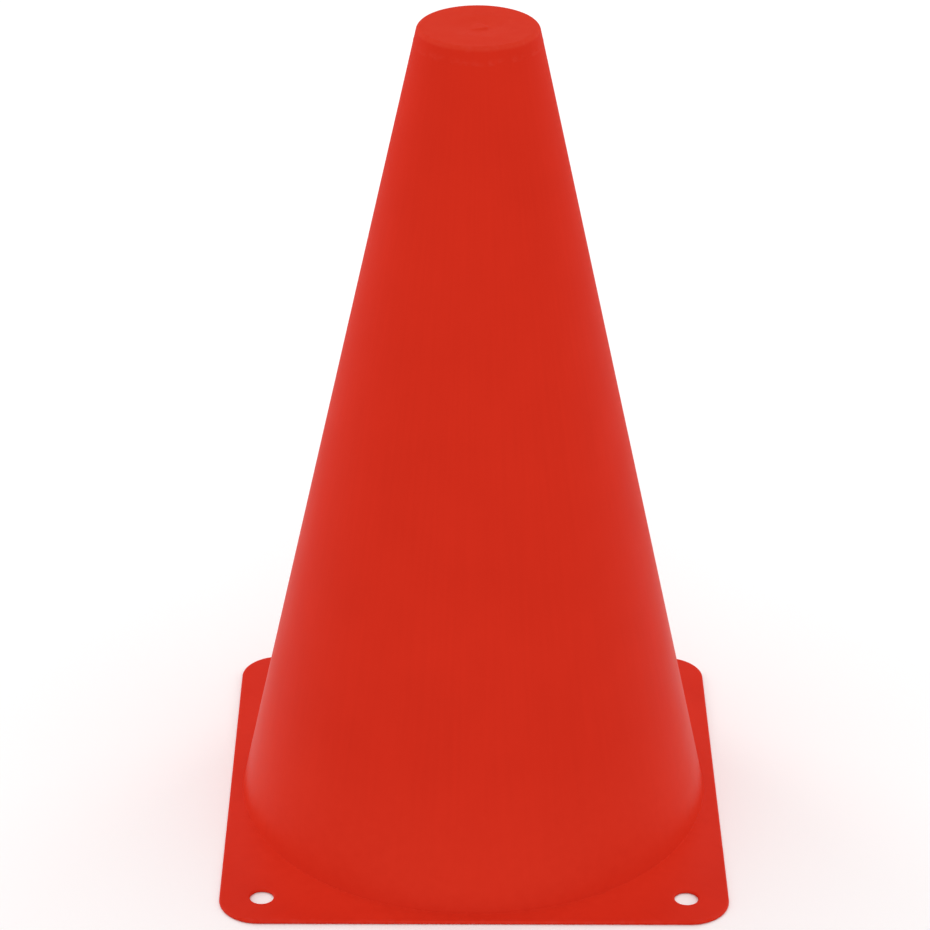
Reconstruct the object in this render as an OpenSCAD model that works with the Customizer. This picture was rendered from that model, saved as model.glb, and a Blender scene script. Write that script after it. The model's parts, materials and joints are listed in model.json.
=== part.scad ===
// Small marker cone: one thin plastic moulding, hollow and open below so that cones nest.
// The moulding is divided where its form changes, into a base flange, a cone wall and a
// top cap. They meet face to face on cuts that stand square to the wall.
// The origin is the centre of the base on the ground, with +Z up. Lengths are in mm.

/* [Base flange] */
// Side of the square flange
base_w = 138; // [124:1:180]
// Radius of the flange's corners
corner_r = 11; // [6:0.5:18]
// Thickness of the flange
flange_t = 1; // [0.8:0.1:2.4]
// Width of the flange from its edge to the foot of the wall, at the middle of a side
flange_land = 3.5; // [3.5:0.5:12]
// Radius in the hollow corner between the flange and the wall
root_r = 0.5; // [0.3:0.1:3]
// Straight part of the collar above the root radius
collar_rise = 3; // [1:0.5:12]

/* [Peg holes] */
// Diameter of the hole in each corner
hole_d = 6.4; // [4:0.1:8]
// Distance from the flange's edges to the centre of a hole
hole_inset = 11.5; // [8:0.5:14]

/* [Cone wall] */
// Height of the whole cone
height = 229.5; // [150:0.5:310]
// Outside diameter at which the line of the wall reaches the top plane
tip_d = 31.5; // [26:0.5:48]
// Thickness of the wall
wall_t = 1; // [0.8:0.1:2]

/* [Top cap] */
// Radius of the shoulder around the flat top
shoulder_r = 1.5; // [1:0.25:6]
// Straight skirt of the cap below the shoulder, down to the mould line
cap_skirt = 3.5; // [1:0.5:12]
// Thickness of the flat top
top_t = 1.2; // [1:0.1:2.4]
// Diameter of the shallow dish that the moulding gate leaves in the top
gate_d = 8.5; // [6:0.5:12]
// Depth of the gate dish
gate_depth = 0.5; // [0.2:0.1:0.6]
// Diameter of the gate stub in the middle of the dish
stub_d = 3.4; // [1.5:0.1:4]
// Height of the gate stub above the bottom of the dish
stub_h = 0.45; // [0.1:0.05:0.6]

/* [Hidden] */
$fn = 96;
plastic_red = "#cf2d1c";

// The wall is a straight line in section, from its foot on the flange to its tip at the top plane.
half_w = base_w / 2;
foot_r = half_w - flange_land;
tip_r = tip_d / 2;
lean = atan((foot_r - tip_r) / (height - flange_t));
wall_normal = [cos(lean), sin(lean)];

// Radius, at height z, of the surface that lies at a depth under the outside of the wall
function wall_r(z, depth = 0) = foot_r - (z - flange_t) * tan(lean) - depth / cos(lean);

// Point at a depth under the outside of the wall, straight in from the outside point at height z
function wall_point(z, depth = 0) = [wall_r(z), z] - depth * wall_normal;

// Centre of a round between a wall surface and a level plane. Side 1 is outside the wall and
// above the plane, as at the root; side -1 is inside the wall and below it, as at the shoulder.
function round_centre(plane_z, depth, r, side) =
    let (z = plane_z + side * r)
    [wall_r(z, depth) + side * r / cos(lean), z];

// Height at which a round runs out into the wall
function round_end_z(plane_z, r, side) = plane_z + side * r * (1 - sin(lean));

// Inside and outside rounds follow each other, so that the wall keeps its thickness.
mouth_r = root_r + wall_t;
inner_shoulder_r = max(shoulder_r - wall_t, wall_t / 2);
inner_top_z = height - top_t;

// Heights of the two cuts on the outside of the wall, and how far a cut reaches past both faces
collar_z = round_end_z(flange_t, root_r, 1) + collar_rise;
cap_z = round_end_z(height, shoulder_r, -1) - cap_skirt;
cut_reach = wall_t;

// Depth to which the ends of the wall line dip into their rounds, so that line and arc cross
dip = 0.0005;

// The dish is a shallow piece of a sphere.
dish_r = (pow(gate_d / 2, 2) + pow(gate_depth, 2)) / (2 * gate_depth);
dish_floor_z = height - gate_depth;

// Filled half-section inside one face of the shell, like the cavity or the core of a mould.
// It has a hollow round at the foot plane and a full round at the top plane, and it runs on
// below the foot plane by the thickness of the flange.
module mould_section(depth, foot_z, top_z, foot_round, top_round) {
    foot = round_centre(foot_z, depth, foot_round, 1);
    shoulder = round_centre(top_z, depth, top_round, -1);
    difference() {
        union() {
            polygon([
                [0, foot_z - flange_t],
                [foot.x, foot_z - flange_t],
                [foot.x, foot_z],
                foot - (foot_round - dip) * wall_normal,
                shoulder + (top_round - dip) * wall_normal,
                [shoulder.x, top_z],
                [0, top_z]
            ]);
            translate(shoulder) circle(top_round);
        }
        translate(foot) circle(foot_round);
    }
}

// Half-section of the whole moulding: what the core leaves of the cavity, with a flange that
// reaches past the corners of the square
module shell_section() {
    difference() {
        union() {
            mould_section(0, flange_t, height, root_r, shoulder_r);
            square([base_w, flange_t]);
        }
        mould_section(wall_t, 0, inner_top_z, mouth_r, inner_shoulder_r);
    }
}

// Flange and collar, up to the lower cut
module collar_section() {
    intersection() {
        shell_section();
        polygon([
            [0, 0],
            [base_w, 0],
            [base_w, collar_z],
            wall_point(collar_z, -cut_reach),
            wall_point(collar_z, wall_t + cut_reach)
        ]);
    }
}

// Skirt and flat top, down to the upper cut, with the gate's dish and stub
module cap_section() {
    difference() {
        intersection() {
            shell_section();
            polygon([
                [0, cap_z],
                wall_point(cap_z, wall_t + cut_reach),
                wall_point(cap_z, -cut_reach),
                [wall_r(cap_z) + cut_reach, height],
                [0, height]
            ]);
        }
        translate([0, dish_floor_z + dish_r]) circle(dish_r);
    }
    translate([0, inner_top_z]) square([stub_d / 2, dish_floor_z + stub_h - inner_top_z]);
}

module rounded_square(w, r) {
    square([w, w - 2 * r], center = true);
    square([w - 2 * r, w], center = true);
    for (x = [-1, 1], y = [-1, 1])
        translate([x, y] * (w / 2 - r)) circle(r);
}

// Square flange with a peg hole in each corner and a turned-up collar that carries the wall
module base_flange() {
    color(plastic_red)
    difference() {
        intersection() {
            rotate_extrude() collar_section();
            linear_extrude(collar_z + flange_t) rounded_square(base_w, corner_r);
        }
        for (x = [-1, 1], y = [-1, 1])
            translate([x * (half_w - hole_inset), y * (half_w - hole_inset), -flange_t])
                cylinder(h = 3 * flange_t, d = hole_d);
    }
}

// Tapered wall between the collar and the cap, of one thickness all the way up
module cone_wall() {
    color(plastic_red)
    rotate_extrude()
    polygon([
        wall_point(collar_z),
        wall_point(cap_z),
        wall_point(cap_z, wall_t),
        wall_point(collar_z, wall_t)
    ]);
}

// Closed top with a round shoulder and the mark that the moulding gate leaves
module top_cap() {
    color(plastic_red)
    rotate_extrude() cap_section();
}

base_flange();
cone_wall();
top_cap();
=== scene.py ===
# %% [markdown]
# # A small marker cone
# The real cone is one thin moulding of red polyethylene: a square flange that lies on the ground,
# a tapered wall and a closed flat top. It is hollow and open below, so that cones nest.
# The imported CAD model gives the sizes, so it is loaded first. The finished cone has to stay inside
# it.

# %% Load the frame
import json
import math

import bpy
import numpy as np
from mathutils import Matrix, Vector


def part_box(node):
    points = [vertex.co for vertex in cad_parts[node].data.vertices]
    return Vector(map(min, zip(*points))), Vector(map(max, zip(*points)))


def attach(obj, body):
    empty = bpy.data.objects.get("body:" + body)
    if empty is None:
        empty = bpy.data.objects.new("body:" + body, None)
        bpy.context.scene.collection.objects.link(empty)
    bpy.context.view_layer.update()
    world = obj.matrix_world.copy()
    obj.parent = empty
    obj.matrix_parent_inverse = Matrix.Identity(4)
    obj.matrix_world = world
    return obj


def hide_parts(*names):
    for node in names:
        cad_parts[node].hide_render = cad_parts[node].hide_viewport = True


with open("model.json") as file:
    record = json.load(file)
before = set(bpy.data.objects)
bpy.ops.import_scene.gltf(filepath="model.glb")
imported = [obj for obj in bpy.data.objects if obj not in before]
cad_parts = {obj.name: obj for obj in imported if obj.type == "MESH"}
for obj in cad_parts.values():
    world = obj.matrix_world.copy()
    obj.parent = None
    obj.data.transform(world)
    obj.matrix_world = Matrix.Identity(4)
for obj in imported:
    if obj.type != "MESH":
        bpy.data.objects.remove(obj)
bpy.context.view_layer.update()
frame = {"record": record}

MM = 0.001
scene = bpy.context.scene

# %% [markdown]
# ## Sizes
# Sizes that the CAD boxes can tell are read from them: the side of the flange, the height, and the
# two heights where the moulding is divided. At those cuts the boxes also give the outside radius of
# the wall, and two points are enough for its straight line. The peg holes come from the record's
# mount. Only what no box shows is written here as a number: thicknesses and rounds.

# %% Read the sizes
flange_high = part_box("base_flange")[1]
wall_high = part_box("cone_wall")[1]
cap_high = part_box("top_cap")[1]
half_side = flange_high.x
height = cap_high.z
collar_z, collar_r = flange_high.z, wall_high.x
cap_z, cap_r = wall_high.z, cap_high.x
lean = math.atan((collar_r - cap_r) / (cap_z - collar_z))
wall_normal = np.array([math.cos(lean), math.sin(lean)])

peg_mount = next(m for m in frame["record"]["mounts"] if m["name"] == "peg_holes")
hole_r = peg_mount["dims"]["hole_r_mm"] * MM
hole_x = peg_mount["dims"]["spacing_x_mm"] / 2 * MM
hole_y = peg_mount["dims"]["spacing_y_mm"] / 2 * MM

flange_t = 1 * MM
wall_t = 1 * MM
top_t = 1.2 * MM
corner_r = 11 * MM
root_r = 0.1 * MM
mouth_r = root_r + wall_t
shoulder_r = 1.5 * MM
inner_shoulder_r = 0.5 * MM
inner_top_z = height - top_t
edge_r = 0.35 * MM
hole_edge_r = 0.45 * MM
print(f"wall leans {math.degrees(lean):.2f} degrees; cuts at {collar_z / MM:.2f} and {cap_z / MM:.2f} mm")

# %% [markdown]
# ## Lines of the section
# A moulding like this is drawn as a section: one straight wall, and arcs where the wall meets a level
# face. Each arc touches both lines, so the shading runs on without a crease. At the foot the inside
# arc has the same centre as the outside one, which keeps the plastic at one thickness around the bend.

# %% Section helpers
ROUND_STEPS = 9


def arc(centre, radius, start, end, count):
    """Points centre + radius * (cos a, sin a), with the angle a going evenly from start to end."""
    a = np.linspace(start, end, count)[:, None]
    return np.asarray(centre) + radius * np.hstack([np.cos(a), np.sin(a)])


def straight(start, end, count):
    """Points start + s * (end - start), with s going evenly from 0 to 1."""
    s = np.linspace(0, 1, count)[:, None]
    return np.asarray(start) + s * (np.asarray(end) - np.asarray(start))


def wall_radius(z, depth=0.0):
    """Radius at height z of the face that lies at a depth under the outside of the wall.
    The wall is a straight line: its radius falls by tan(lean) for each unit of height."""
    return collar_r - (z - collar_z) * math.tan(lean) - depth / math.cos(lean)


def wall_point(z, depth=0.0):
    """Point (r, z) at a depth straight under the outside of the wall at height z."""
    return np.array([wall_radius(z), z]) - depth * wall_normal


def round_arc(plane_z, depth, radius, side, count=ROUND_STEPS):
    """Arc from a level plane to the wall that touches both. Side 1 lies outside the wall and above
    the plane, as at the root; side -1 lies inside it and below, as at the shoulder."""
    z = plane_z + side * radius
    centre = (wall_radius(z, depth) + side * radius / math.cos(lean), z)
    return arc(centre, radius, -side * math.pi / 2, lean - (math.pi if side > 0 else 0), count)


root_arc = round_arc(flange_t, 0, root_r, 1)
mouth_arc = round_arc(0, wall_t, mouth_r, 1)
ring_r = root_arc[0, 0]
print(f"root starts at r = {ring_r / MM:.2f} mm, mouth at r = {mouth_arc[0, 0] / MM:.2f} mm")

# %% [markdown]
# ## From grids to meshes
# Every surface here is a grid of points. Point (c, r) of a grid has the number c * rows + r, so the
# quads follow from whole-array sums. Where two grids meet they share points by construction, and one
# weld closes the seams and the poles. Smooth shading is right nearly everywhere, because all the
# edges are rounded; only the faces at the two cuts are marked sharp, so that no shadow line
# shows where the pieces meet.

# %% Mesh helpers
TURNS = 360
WELD = 0.0001 * MM
CUT_ANGLE = math.radians(40)
SCUFF_WIDTH = 0.9 * MM


def grid_quads(columns, rows, wrap_columns=False, wrap_rows=False):
    """Corner numbers of a grid's quads. A face looks along (column direction) x (row direction)."""
    c = np.arange(columns if wrap_columns else columns - 1)[:, None]
    r = np.arange(rows if wrap_rows else rows - 1)[None, :]
    c_next, r_next = (c + 1) % columns, (r + 1) % rows
    corners = [c * rows + r, c_next * rows + r, c_next * rows + r_next, c * rows + r_next]
    return np.stack(corners, axis=-1).reshape(-1, 4)


def revolve(profile, closed=False):
    """Carries (r, z) points around Z: x = r cos t, y = r sin t. The profile goes up on the outside
    and down on the inside, and then its faces look out of the plastic."""
    t = np.linspace(0, 2 * np.pi, TURNS, endpoint=False)[:, None]
    r, z = profile[:, 0], profile[:, 1]
    points = np.stack([r * np.cos(t), r * np.sin(t), z + 0 * t], axis=-1)
    return points.reshape(-1, 3), grid_quads(TURNS, len(profile), True, closed)


def join(parts):
    """Stacks (points, quads) pairs into one pair, with the quads renumbered."""
    starts = np.cumsum([0] + [len(points) for points, _ in parts[:-1]])
    points = np.vstack([points for points, _ in parts])
    return points, np.vstack([quads + start for (_, quads), start in zip(parts, starts)])


def bell(distance, width):
    """Bell curve: 1 at distance 0, and nearly 0 at twice the width."""
    return np.exp(-(distance / width) ** 2)


def make_piece(name, points, quads, edge_distance):
    """Welds points that share a place, makes triangles of quads that end in a pole, and puts the
    result into a smooth mesh object at the origin. The function edge_distance gives the distance of
    points from the edges that get scuffed; a bell curve of it is kept on the mesh as scuff."""
    _, first, number = np.unique(
        np.round(points / WELD).astype(np.int64), axis=0, return_index=True, return_inverse=True)
    points = points[first]
    quads = number.reshape(-1)[quads]
    starts_in_pole = quads[:, 0] == quads[:, 1]
    ends_in_pole = quads[:, 2] == quads[:, 3]
    whole = ~(starts_in_pole | ends_in_pole)
    faces = quads[whole].tolist()
    faces += quads[starts_in_pole][:, 1:].tolist()
    faces += quads[ends_in_pole][:, :3].tolist()
    mesh = bpy.data.meshes.new(name)
    mesh.from_pydata(points.tolist(), [], faces)
    mesh.shade_smooth()
    mesh.set_sharp_from_angle(angle=CUT_ANGLE)
    scuff = mesh.attributes.new("scuff", "FLOAT", "POINT")
    scuff.data.foreach_set("value", bell(edge_distance(points), SCUFF_WIDTH).astype(np.float32))
    piece = bpy.data.objects.new(name, mesh)
    scene.collection.objects.link(piece)
    normals = piece.modifiers.new("flat faces stay flat", "WEIGHTED_NORMAL")
    normals.keep_sharp = True
    print(f"{name}: {len(mesh.vertices)} points, {len(mesh.polygons)} faces")
    return piece


# %% [markdown]
# ## The cone wall
# The wall is a closed loop in section: up the outside, across the upper cut, down the inside and
# across the lower cut. Carried around the axis, it becomes a tube with a true thickness, so the view
# into the open base is right too. A cone primitive with a Solidify modifier would come close, but the
# section puts both cuts exactly where the CAD has them. The wall has no edges of its own to scuff.

# %% Make the cone wall
WALL_ROWS = 40


def far_from_edges(points):
    """The height of the cone as the distance, so that no scuff is left."""
    return np.full(len(points), height)


wall_section = np.vstack([
    straight(wall_point(collar_z), wall_point(cap_z), WALL_ROWS),
    straight(wall_point(cap_z, wall_t), wall_point(collar_z, wall_t), WALL_ROWS),
])
cone_wall = make_piece("cone_wall_visual", *revolve(wall_section, closed=True), far_from_edges)

# %% [markdown]
# ## The base flange
# The flange is flat, but its outline is a rounded square and it has a hole in each corner, so a plain
# turn around the axis can't make it. A Boolean could cut the holes, but it leaves long thin faces that
# shade badly. The flange is laid out as a plan instead. Along each side a fan of straight rows runs
# from the root to the edge. In each corner, rows run from the rim of the hole out to everything around
# it: the two fans, the edge and the root. One quarter is worked out, turned four times, and used for
# the top face and for the underside.

# %% Lay out a quarter of the flange
CORNER_HALF_ANGLE = math.radians(24)
FAN_ROWS = 7
SPOKE_ROWS = 14
OUTLINE_STEPS = 14
CORNER_STEPS = 24
turn_step = 2 * math.pi / TURNS
fan_half = round((math.pi / 4 - CORNER_HALF_ANGLE) / turn_step)
fan_angles = turn_step * np.arange(-fan_half, fan_half + 1)
corner_angles = turn_step * np.arange(fan_half, TURNS // 4 - fan_half + 1)
corner_centre = half_side - corner_r


def swap_xy(points):
    """Mirror image across the diagonal x = y, in the opposite order."""
    return points[::-1, ::-1]


side_line = np.stack([half_side + 0 * fan_angles, half_side * np.tan(fan_angles)], axis=-1)
side_normal = np.tile([1.0, 0.0], (len(side_line), 1))
run_out = straight(side_line[-1], (half_side, corner_centre), OUTLINE_STEPS)
run_normal = np.tile([1.0, 0.0], (OUTLINE_STEPS, 1))
bend = arc((corner_centre, corner_centre), corner_r, 0, math.pi / 2, CORNER_STEPS)
bend_normal = arc((0, 0), 1, 0, math.pi / 2, CORNER_STEPS)
corner_line = np.vstack([run_out, bend[1:-1], swap_xy(run_out)])
corner_normal = np.vstack([run_normal, bend_normal[1:-1], swap_xy(run_normal)])


def fan(inner, outer):
    """Grid of straight rows: inner + s * (outer - inner), with s from 0 to 1 in FAN_ROWS steps."""
    s = np.linspace(0, 1, FAN_ROWS)[None, :, None]
    return inner[:, None, :] + s * (outer - inner)[:, None, :]


def ring(angles):
    """Points on the circle where the root begins."""
    return ring_r * np.stack([np.cos(angles), np.sin(angles)], axis=-1)


side_edge = side_line - edge_r * side_normal
corner_edge = corner_line - edge_r * corner_normal
side_fan = fan(ring(fan_angles), side_edge)
around_hole = np.vstack([
    side_fan[-1],
    corner_edge[1:-1],
    swap_xy(side_fan[-1]),
    ring(corner_angles)[-2:0:-1],
])
hole_centre = np.array([hole_x, hole_y])
spoke = around_hole - hole_centre
spoke_length = np.linalg.norm(spoke, axis=1)[:, None]
spoke_direction = spoke / spoke_length
rim_r = hole_r + hole_edge_r
along_spoke = (1 - np.cos(np.linspace(0, math.pi, SPOKE_ROWS))) / 2
reach = rim_r + along_spoke[None, :, None] * (spoke_length - rim_r)[:, None, :]
corner_web = hole_centre + spoke_direction[:, None, :] * reach
print(f"{len(fan_angles)} rows along a side, {len(around_hole)} around a hole")

# %% [markdown]
# The quarter is now lifted to both faces, and the two faces are joined by rounded edges: one around
# the outline and one around each hole. The collar, which carries the wall, is turned like the wall.

# %% Turn the quarter into the flange and its collar
EDGE_ROWS = 6
COLLAR_ROWS = 5


def at_height(plan, z):
    """A plan of (x, y) points as (x, y, z) points at one height."""
    flat = plan.reshape(-1, 2)
    return np.column_stack([flat, np.full(len(flat), z)])


def four_times(points, quads):
    """The quarter turned by 0, 90, 180 and 270 degrees: (x, y) becomes (-y, x) at each turn."""
    turned = [points]
    for _ in range(3):
        x, y, z = turned[-1].T
        turned.append(np.column_stack([-y, x, z]))
    return join([(p, quads) for p in turned])


def rounded_edge(inset, normal, radius):
    """Edge between the faces: from the inset line, out and down along a quarter circle, and back in
    along another, so that a row at angle a lies at inset + radius * cos(a) * normal."""
    upper, lower = np.linspace(math.pi / 2, 0, EDGE_ROWS), np.linspace(0, -math.pi / 2, EDGE_ROWS)
    a = np.concatenate([upper, lower])
    z = radius * np.sin(a) + np.repeat([flange_t - radius, radius], EDGE_ROWS)
    plan = inset[:, None, :] + radius * np.cos(a)[None, :, None] * normal[:, None, :]
    levels = np.broadcast_to(z[None, :, None], (*plan.shape[:2], 1))
    return np.concatenate([plan, levels], axis=-1).reshape(-1, 3)


def flipped(quads):
    """The same quads, looking the other way."""
    return quads[:, ::-1]


def flange_edge_distance(points):
    """Distance in plan from the outline of the rounded square. With q = |p| - corner centre, it is
    the length of q's positive part, plus q's larger part where both are negative, less the radius."""
    q = np.abs(points[:, :2]) - corner_centre
    outside = np.linalg.norm(np.maximum(q, 0), axis=1)
    return np.abs(outside + np.minimum(q.max(axis=1), 0) - corner_r)


fan_quads = grid_quads(len(fan_angles), FAN_ROWS)
web_quads = grid_quads(len(around_hole), SPOKE_ROWS, wrap_columns=True)
side_quads = grid_quads(len(side_line), 2 * EDGE_ROWS)
corner_quads = grid_quads(len(corner_line), 2 * EDGE_ROWS)
rim_quads = grid_quads(len(around_hole), 2 * EDGE_ROWS, wrap_columns=True)
rim_line = hole_centre + rim_r * spoke_direction
quarter = join([
    (at_height(side_fan, flange_t), flipped(fan_quads)),
    (at_height(corner_web, flange_t), flipped(web_quads)),
    (at_height(side_fan, 0), fan_quads),
    (at_height(corner_web, 0), web_quads),
    (rounded_edge(side_edge, side_normal, edge_r), flipped(side_quads)),
    (rounded_edge(corner_edge, corner_normal, edge_r), flipped(corner_quads)),
    (rounded_edge(rim_line, -spoke_direction, hole_edge_r), rim_quads),
])
collar_section = np.vstack([
    root_arc,
    straight(root_arc[-1], wall_point(collar_z), COLLAR_ROWS)[1:],
    straight(wall_point(collar_z, wall_t), mouth_arc[-1], COLLAR_ROWS)[:-1],
    mouth_arc[::-1],
])
flange_grids = join([four_times(*quarter), revolve(collar_section)])
base_flange = make_piece("base_flange_visual", *flange_grids, flange_edge_distance)

# %% [markdown]
# ## The top cap
# The cap is turned like the wall, from the middle of the inside, out and down to the cut, and back up
# over the shoulder to the middle of the top. Two marks of the mould are on it. A fine ridge runs
# around just above the cut, where two parts of the mould meet. In the middle of the top lies the
# gate, where the plastic came in: a shallow dish with a torn stub. The stub isn't round, so the
# height there depends on the angle too. Sculpting could make it as well, but a formula gives the same
# mark at each run.

# %% Make the top cap
gate_r = 8.5 * MM
gate_floor_r = 2.2 * MM
gate_depth = 0.45 * MM
stub_r = 2.2 * MM
stub_slope = 1.0 * MM
STUB_LOBES = 0.12
TEAR_ANGLE = math.radians(-25)
ridge_h = 0.05 * MM
ridge_w = 0.3 * MM
ridge_rise = 0.6 * MM
TOP_ROWS = 90
SHOULDER_STEPS = 13
SKIRT_ROWS = 30
INNER_SKIRT_ROWS = 4
CEILING_ROWS = 8


def smooth_step(x):
    """0 below 0, 1 above 1, and 3x^2 - 2x^3 between, so that it starts and ends level."""
    x = np.clip(x, 0, 1)
    return x * x * (3 - 2 * x)


def gate_height(r, t):
    """Height of the gate mark over the flat top. The dish has a level floor, and a smooth step leads
    from it up to the rim. The face of the stub is a slant plane: it rises from the floor of the dish
    to the level of the flat top at the torn side. There a second, steeper step leads back down. The
    stub's outline has three weak lobes: its radius is stub_r * (1 + STUB_LOBES * cos(3 * angle))."""
    dish = -gate_depth * smooth_step((gate_r - r) / (gate_r - gate_floor_r))
    face = -gate_depth * (1 - r / stub_r * np.cos(t - TEAR_ANGLE)) / 2
    outline = stub_r * (1 + STUB_LOBES * np.cos(3 * (t - TEAR_ANGLE)))
    return dish + (face - dish) * smooth_step((outline + stub_slope / 2 - r) / stub_slope)


def ridged(points):
    """Moves points of the outer skirt out by a bell curve around the mould line."""
    out = ridge_h * bell(points[:, 1] - cap_z - ridge_rise, ridge_w)
    return points + out[:, None] * wall_normal


shoulder = round_arc(height, 0, shoulder_r, -1, SHOULDER_STEPS)
inner_shoulder = round_arc(inner_top_z, wall_t, inner_shoulder_r, -1)
top_radii = np.linspace(shoulder[0, 0], 0, TOP_ROWS)[1:]
cap_section = np.vstack([
    straight((0, inner_top_z), inner_shoulder[0], CEILING_ROWS)[:-1],
    inner_shoulder,
    straight(inner_shoulder[-1], wall_point(cap_z, wall_t), INNER_SKIRT_ROWS)[1:],
    ridged(straight(wall_point(cap_z), shoulder[-1], SKIRT_ROWS)),
    shoulder[::-1][1:],
    np.column_stack([top_radii, np.full(len(top_radii), height)]),
])


def cap_edge_distance(points):
    """Distance in section from the middle of the shoulder's arc or from the ridge, if that is nearer."""
    section = np.column_stack([np.hypot(points[:, 0], points[:, 1]), points[:, 2]])
    edges = (shoulder[len(shoulder) // 2], wall_point(cap_z + ridge_rise))
    return np.min([np.linalg.norm(section - edge, axis=1) for edge in edges], axis=0)


cap_points, cap_quads = revolve(cap_section)
row = np.tile(np.arange(len(cap_section)), TURNS)
on_top = row >= len(cap_section) - len(top_radii)
cap_x, cap_y = cap_points[:, 0], cap_points[:, 1]
cap_points[:, 2] += on_top * gate_height(np.hypot(cap_x, cap_y), np.arctan2(cap_y, cap_x))
pole = row == len(cap_section) - 1
cap_points[pole, 2] = cap_points[pole, 2].mean()
top_cap = make_piece("top_cap_visual", cap_points, cap_quads, cap_edge_distance)

# %% [markdown]
# ## Red polyethylene
# The plastic is coloured all through and has no paint to chip. It ran from the gate down to the
# flange, and where the pigment was not fully mixed it left weak clouds and faint streaks along that
# way. An image could show that, but it needs a UV map and blurs up close. The nodes read Object
# coordinates instead, in metres, so a noise of scale 100 makes spots of about 10 mm. The shine is weak
# and the same all over, so it is a plain number on the shader.

# %% Node helpers
def add_node(tree, kind, settings, inputs):
    """New shader node of a kind. Settings go on the node itself; each input gets a value or a link."""
    node = tree.nodes.new("ShaderNode" + kind)
    for name, value in settings.items():
        setattr(node, name, value)
    for name, value in inputs.items():
        if isinstance(value, bpy.types.NodeSocket):
            tree.links.new(value, node.inputs[name])
        else:
            node.inputs[name].default_value = value
    return node


def math_node(tree, operation, *values):
    """Result of one Math node on numbers or sockets."""
    return add_node(tree, "Math", {"operation": operation}, dict(enumerate(values))).outputs[0]


def vector_node(tree, operation, *values):
    """Result of one Vector Math node on vectors or sockets."""
    return add_node(tree, "VectorMath", {"operation": operation}, dict(enumerate(values))).outputs[0]


def ramp(tree, value, start, end, low, high):
    """Values from start to end become low to high, in a straight line; beyond them it stays level."""
    span = {"Value": value, "From Min": start, "From Max": end, "To Min": low, "To Max": high}
    return add_node(tree, "MapRange", {}, span).outputs[0]


def noise(tree, place, scale, low, high, detail=2.0, dark=0.3, bright=0.7):
    """Noise with spots of about 1 / scale metres. Its values from dark to bright become low to high."""
    inputs = {"Vector": place, "Scale": scale, "Detail": detail}
    raw = add_node(tree, "TexNoise", {}, inputs).outputs[0]
    return ramp(tree, raw, dark, bright, low, high)


def mix_colours(tree, share, first, second):
    """Blend of two colours: share 0 is the first, and share 1 is the second."""
    return add_node(tree, "Mix", {"data_type": "RGBA"}, {0: share, 6: first, 7: second}).outputs[2]


# %% Mix the plastic
DEEP_RED = (0.617, 0.0237, 0.0092, 1)
LIGHT_RED = (0.654, 0.0262, 0.0103, 1)
SHINE = 0.026
STREAK_SCALE = 45
STREAK_STRETCH = 0.8
STREAK_SHARE = 0.4
CLOUD_SCALE = 55
CLOUD_SHARE = 0.6

plastic = bpy.data.materials.new("satin red polyethylene")
plastic.use_nodes = True
tree = plastic.node_tree
shader = tree.nodes["Principled BSDF"]
shader.inputs["Specular IOR Level"].default_value = SHINE
place = add_node(tree, "TexCoord", {}, {}).outputs["Object"]

around = vector_node(tree, "NORMALIZE", vector_node(tree, "MULTIPLY", place, (1, 1, 0)))
along = vector_node(tree, "MULTIPLY", place, (0, 0, STREAK_STRETCH))
flow = vector_node(tree, "ADD", around, along)
streaks = noise(tree, flow, STREAK_SCALE, 0, STREAK_SHARE, detail=3)
clouds = noise(tree, place, CLOUD_SCALE, 0, CLOUD_SHARE, detail=3)
red = mix_colours(tree, math_node(tree, "ADD", streaks, clouds), DEEP_RED, LIGHT_RED)
print(f"fresh plastic: {len(tree.nodes)} nodes, shine {SHINE}")

# %% [markdown]
# ## Painted light and wear
# The flat top and the upper half of its shoulder are painted paler: painted light, for the light that
# falls on them from above. The foot of the wall and the flange next to it are painted paler too: painted
# light that cancels the shade that gathers around the root. Its strength falls with the distance from the
# ring where the root begins. Heights count for a third in that distance, so the painted light climbs the
# wall further than it spreads on the flange, and it is stronger at the corners, where the shade is
# deeper. One noise mottles both painted lights. The edges and the ridge are scuffed in patches, by the
# scuff values on the meshes. Handling dulls the plastic, and more towards the neck, where hands grip it.

# %% Paint light on the plastic and age it
# Painted light: this is the red painted paler for the light that falls on the top from above.
TOP_LIT_RED = (0.654, 0.0358, 0.0151, 1)
# Painted light: this is the red painted paler to cancel the shade around the foot of the wall.
FOOT_LIT_RED = (0.692, 0.0330, 0.0137, 1)
SCUFFED_RED = (0.680, 0.0600, 0.0400, 1)
MOTTLE_SCALE = 350
LEAST_MOTTLE = 0.7
MOST_MOTTLE = 1.1
FOOT_LIGHT_REACH = 16 * MM
FOOT_LIGHT_CLIMB = 0.33
SIDE_FOOT_LIGHT = 0.7
CORNER_FOOT_LIGHT = 1.2
SCUFF_SCALE = 500
SCUFF_SHARE = 0.35
GRIP_SCALE = 30
GRIP_SPREAD = 0.05
FOOT_ROUGHNESS = 0.36
NECK_ROUGHNESS = 0.68
SCUFF_ROUGHNESS = 0.3

mottle = noise(tree, place, MOTTLE_SCALE, LEAST_MOTTLE, MOST_MOTTLE, detail=3)
up = add_node(tree, "SeparateXYZ", {}, {"Vector": place}).outputs["Z"]
shoulder_foot = shoulder[-1, 1]
# Painted light on the top: 0 below the foot of the shoulder, rising to 1 halfway up the shoulder.
painted_top_light = ramp(tree, up, shoulder_foot, (shoulder_foot + height) / 2, 0, 1)
top_lit = mix_colours(tree, math_node(tree, "MULTIPLY", painted_top_light, mottle), red, TOP_LIT_RED)

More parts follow.
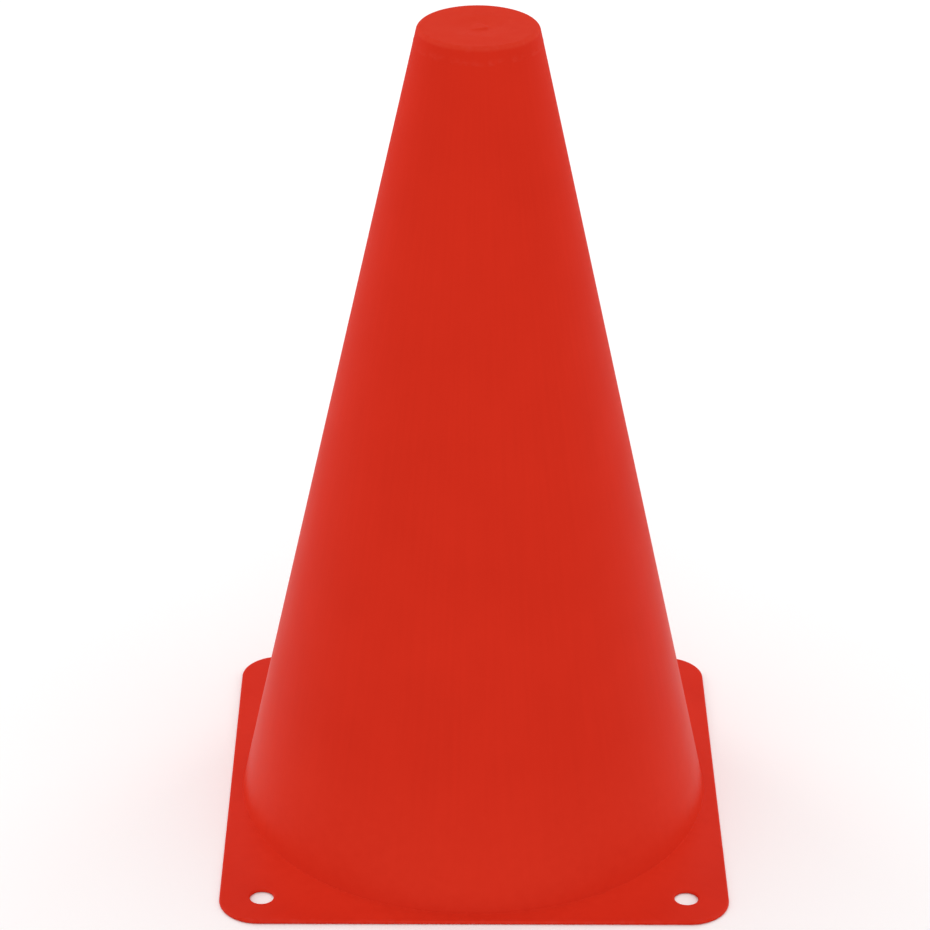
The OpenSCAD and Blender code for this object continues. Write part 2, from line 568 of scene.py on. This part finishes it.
# Painted light around the foot: its distance is taken from the ring where the root begins, with heights
# scaled down.
root_ring = vector_node(tree, "MULTIPLY_ADD", around, (ring_r, ring_r, 0), (0, 0, FOOT_LIGHT_CLIMB * flange_t))
lowered = vector_node(tree, "MULTIPLY", place, (1, 1, FOOT_LIGHT_CLIMB))
from_root = add_node(tree, "VectorMath", {"operation": "DISTANCE"}, {0: lowered, 1: root_ring}).outputs[1]
near_root = ramp(tree, from_root, 0, FOOT_LIGHT_REACH, 1, 0)
# On a circle of radius 1 the product x * y is 0 at the sides and 1/2 on the diagonals.
outward = add_node(tree, "SeparateXYZ", {}, {"Vector": around}).outputs
diagonal = math_node(tree, "ABSOLUTE", math_node(tree, "MULTIPLY", outward["X"], outward["Y"]))
# More painted light at the corners, where the shade around the root is deeper.
foot_light_by_corner = ramp(tree, diagonal, 0, 1 / 2, SIDE_FOOT_LIGHT, CORNER_FOOT_LIGHT)
painted_foot_light = math_node(tree, "MULTIPLY", math_node(tree, "MULTIPLY", near_root, foot_light_by_corner), mottle)
foot_lit = mix_colours(tree, painted_foot_light, top_lit, FOOT_LIT_RED)

edge = add_node(tree, "Attribute", {"attribute_name": "scuff"}, {}).outputs["Fac"]
patches = noise(tree, place, SCUFF_SCALE, 0, SCUFF_SHARE, detail=4, dark=0.42, bright=0.75)
scuffs = math_node(tree, "MULTIPLY", edge, patches)
tree.links.new(mix_colours(tree, scuffs, foot_lit, SCUFFED_RED), shader.inputs["Base Color"])

gripped = ramp(tree, up, 0, height, FOOT_ROUGHNESS, NECK_ROUGHNESS)
uneven = noise(tree, place, GRIP_SCALE, -GRIP_SPREAD, GRIP_SPREAD, detail=4)
handled = math_node(tree, "ADD", gripped, uneven)
roughness = math_node(tree, "MULTIPLY_ADD", scuffs, SCUFF_ROUGHNESS, handled)
tree.links.new(roughness, shader.inputs["Roughness"])
print(f"worn plastic: {len(tree.nodes)} nodes")

# %% [markdown]
# ## Skin
# The mould gave the plastic a satin skin with a very fine grain, and a wall as thin as this is never
# quite true. Both are shallow, so they bend the shading and not the mesh: waves of about 40 mm first,
# and a grain of less than half a millimetre on top of them.

# %% Shape the skin
WAVE_SCALE = 26
WAVE_DEPTH = 0.12 * MM
GRAIN_SCALE = 2400
GRAIN_DEPTH = 0.006 * MM
wave_height = noise(tree, place, WAVE_SCALE, 0, 1, detail=1)
waves = add_node(tree, "Bump", {}, {"Height": wave_height, "Distance": WAVE_DEPTH}).outputs[0]
grain_height = noise(tree, place, GRAIN_SCALE, 0, 1)
grain = add_node(tree, "Bump", {}, {"Height": grain_height, "Distance": GRAIN_DEPTH, "Normal": waves})
tree.links.new(grain.outputs[0], shader.inputs["Normal"])
print(f"finished plastic: {len(tree.nodes)} nodes")

# %% [markdown]
# ## On the frame
# The cone has no joints, so all three pieces ride on one body. Each takes the place of its CAD node,
# which stays in the model for collision but is not drawn.

# %% Put the pieces on the frame
for piece, node in ((base_flange, "base_flange"), (cone_wall, "cone_wall"), (top_cap, "top_cap")):
    piece.data.materials.append(plastic)
    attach(piece, "root")
    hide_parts(node)
    print(f"{piece.name} takes the place of {node}")

# %% [markdown]
# ## Floor
# The cone stands on a plain white floor, which also lights it from below. The floor lies a hair under
# the flange, because two faces at one height would flicker.
# A floor that looks fully white would throw back more light than any real one. So its level depends
# on the ray: it is white where it is seen, and a little darker where it lights the cone.

# %% Lay the floor
FLOOR_REACH = 6.0
FLOOR_GAP = 0.1 * MM
FLOOR_PALE = 0.9
FLOOR_ROUGHNESS = 0.9
WHITE = 1.0


def seen(tree):
    """1 for rays of the camera, of a shine or through a glass, and 0 for rays that carry light."""
    ray = add_node(tree, "LightPath", {}, {}).outputs
    mirrored = math_node(tree, "MAXIMUM", ray["Is Glossy Ray"], ray["Is Transmission Ray"])
    return math_node(tree, "MAXIMUM", ray["Is Camera Ray"], mirrored)


def level_by_ray(tree, lighting, shown):
    """A level that is one number for rays that carry light and another where it is seen."""
    return ramp(tree, seen(tree), 0, 1, lighting, shown)


corners = FLOOR_REACH * np.array([(-1, -1), (1, -1), (1, 1), (-1, 1)])
floor_mesh = bpy.data.meshes.new("floor")
floor_mesh.from_pydata(at_height(corners, -FLOOR_GAP).tolist(), [], [(0, 1, 2, 3)])
floor = bpy.data.objects.new("floor", floor_mesh)
scene.collection.objects.link(floor)
white_floor = bpy.data.materials.new("white floor")
white_floor.use_nodes = True
tree = white_floor.node_tree
floor_shader = tree.nodes["Principled BSDF"]
tree.links.new(level_by_ray(tree, FLOOR_PALE, WHITE), floor_shader.inputs["Base Color"])
floor_shader.inputs["Roughness"].default_value = FLOOR_ROUGHNESS
floor_shader.inputs["Specular IOR Level"].default_value = 0.0
floor_mesh.materials.append(white_floor)
print(f"floor: {2 * FLOOR_REACH:.0f} m wide")

# %% [markdown]
# ## Light
# A white room gives most of the light, so the red looks even, and a soft shadow gathers around the
# flange. What is seen of the room, directly or in a shine, is plain white. Three big softboxes add a
# little form: one high in front for the flat top and the front, and one on each side, behind the
# cone, for the sides of the wall. The levels are shares of white light. On any one face the room and
# the softboxes that reach it add up to about one, so the red renders about as it is written.

# %% Light the room
ROOM = 0.89
world = bpy.data.worlds.new("white room")
scene.world = world
world.use_nodes = True
tree = world.node_tree
room = tree.nodes["Background"]
room.inputs["Color"].default_value = (1, 1, 1, 1)
tree.links.new(level_by_ray(tree, ROOM, WHITE), room.inputs["Strength"])


def softbox(name, place, size, share):
    """Round area lamp aimed at the middle of the cone. A lamp of power P at a distance d adds the
    share P / (pi * d)^2 of white light on a face turned to it."""
    lamp = bpy.data.lights.new(name, "AREA")
    lamp.shape = "DISK"
    lamp.size = size
    way = Vector((0, 0, height / 2)) - Vector(place)
    lamp.energy = share * (math.pi * way.length) ** 2
    box = bpy.data.objects.new(name, lamp)
    box.location = place
    box.rotation_euler = way.to_track_quat("-Z", "Y").to_euler()
    scene.collection.objects.link(box)
    print(f"{name}: {lamp.energy:.1f} W")


softbox("high softbox", place=(0, -1.5, 1.9), size=1.2, share=0.10)
softbox("left softbox", place=(-1.43, 1.2, 0.6), size=1.0, share=0.20)
softbox("right softbox", place=(1.43, 1.2, 0.6), size=1.0, share=0.16)

# %% [markdown]
# ## Camera
# A long lens looks down at the cone from about a metre away. Its direction is built from the angles
# above the floor and around the axis, and then it is rolled by a fraction of a degree.

# %% Place the camera
ELEVATION = math.radians(27.77)
YAW = math.radians(-0.25)
ROLL = math.radians(0.30)
DISTANCE = 950.4 * MM
FOCAL_LENGTH = 135.4
SENSOR_WIDTH = 36
target = Vector((-2.83 * MM, 0, 102.9 * MM))
back = Vector((math.sin(YAW), -math.cos(YAW), math.tan(ELEVATION))).normalized()
lens = bpy.data.cameras.new("camera")
lens.lens = FOCAL_LENGTH
lens.sensor_width = SENSOR_WIDTH
camera = bpy.data.objects.new("camera", lens)
turn = back.to_track_quat("Z", "Y").to_matrix() @ Matrix.Rotation(ROLL, 3, "Z")
camera.matrix_world = Matrix.Translation(target + back * DISTANCE) @ turn.to_4x4()
scene.collection.objects.link(camera)
scene.camera = camera
scene.view_settings.view_transform = "Standard"
print("camera stands at", [round(v, 3) for v in camera.matrix_world.translation])
